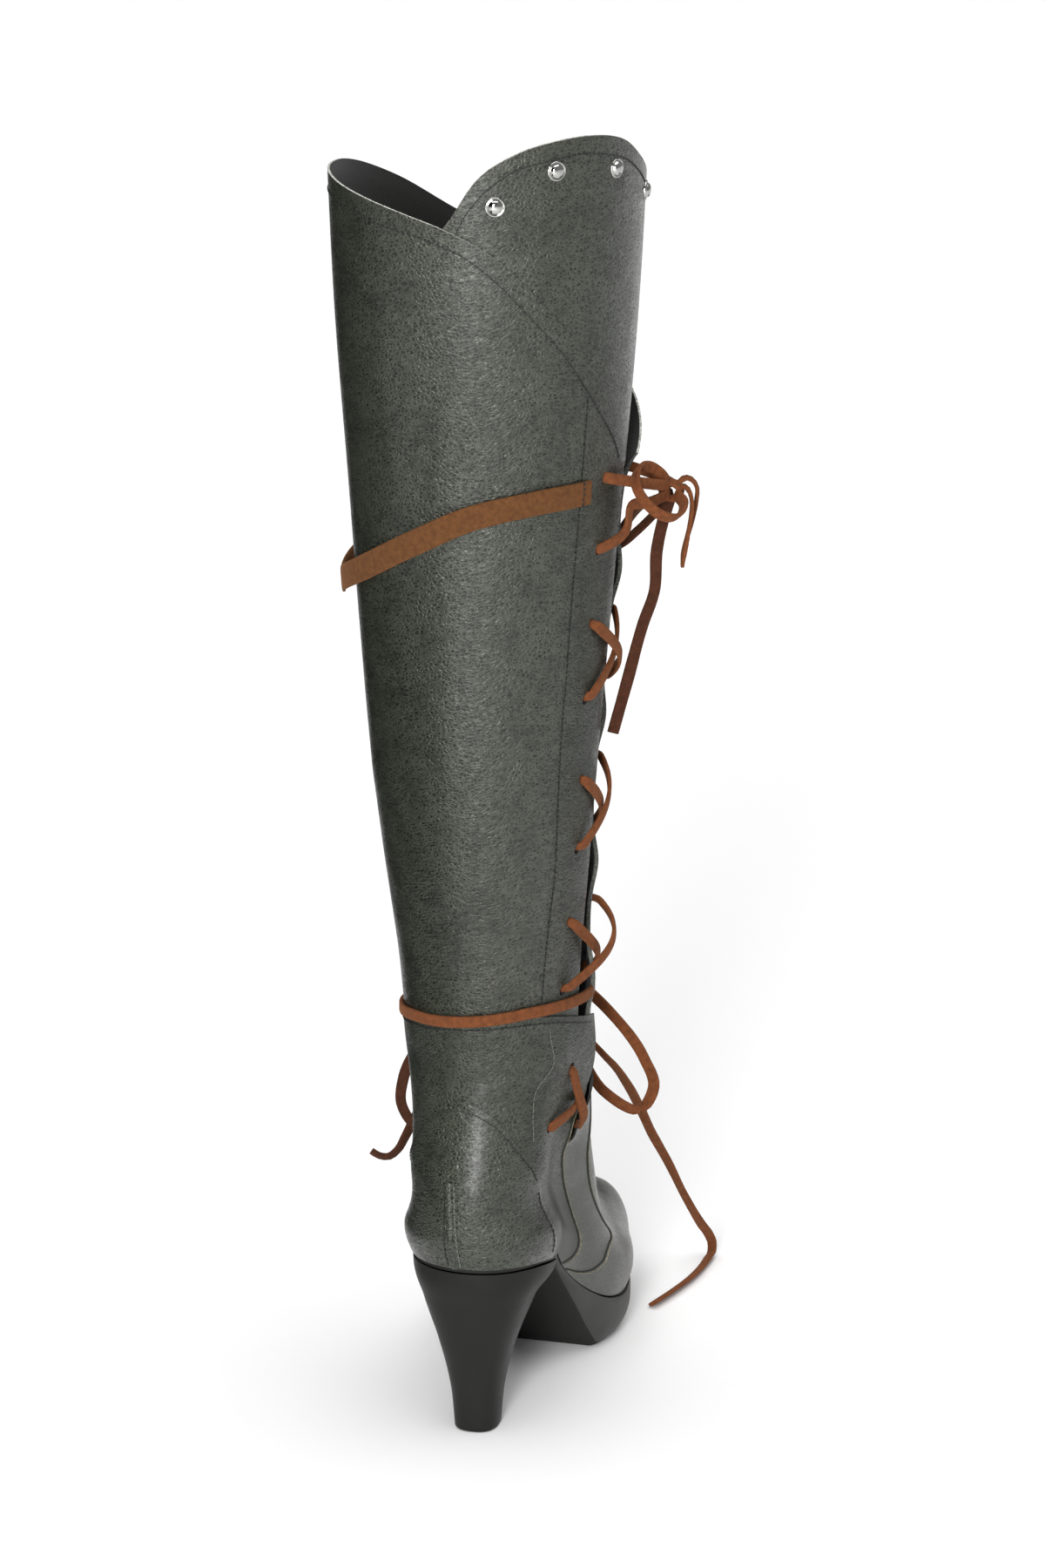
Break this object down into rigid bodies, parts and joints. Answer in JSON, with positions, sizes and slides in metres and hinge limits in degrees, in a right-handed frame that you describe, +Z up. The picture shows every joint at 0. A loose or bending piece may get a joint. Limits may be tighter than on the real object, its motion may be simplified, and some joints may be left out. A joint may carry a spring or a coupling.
{
  "type": "over-knee costume boot",
  "caption": "Tall grey over-knee boot for the right foot with platform, tapered high heel, rivetted knee flap and brown side lacing, standing empty on its sole.",
  "frame": {"origin": "on the floor, under the middle of the boot's box", "axes": "+Z up, +Y towards the toe, +X towards the lateral (little-toe) side of this right boot"},
  "size_m": [0.1702, 0.2933, 0.6026],
  "materials": {
    "moulded_sole": "dark grey moulded sole and heel, satin",
    "lining_cloth": "black lining cloth",
    "grey_leather": "grey grained man-made leather, satin",
    "rivet_metal": "polished dome rivets",
    "brown_suede": "brown suede lace and strap"
  },
  "bodies": {
    "root": {"sole_unit": "moulded_sole", "insole": "lining_cloth", "upper": "grey_leather", "tongue": "grey_leather", "rivet_1": "rivet_metal", "rivet_2": "rivet_metal", "rivet_3": "rivet_metal", "rivet_4": "rivet_metal", "calf_band": "brown_suede", "lace_cross_1": "brown_suede", "lace_cross_2": "brown_suede", "lace_cross_3": "brown_suede", "lace_cross_low": "brown_suede", "ankle_wrap": "brown_suede", "upper_bow_knot": "brown_suede", "upper_loop_a": "brown_suede", "upper_loop_b": "brown_suede", "upper_tail_a": "brown_suede", "upper_tail_b": "brown_suede", "ankle_bow_knot": "brown_suede", "ankle_loop_lateral": "brown_suede", "ankle_loop_medial": "brown_suede", "ankle_tail_lateral": "brown_suede", "ankle_tail_medial": "brown_suede"}
  },
  "joints": []
}
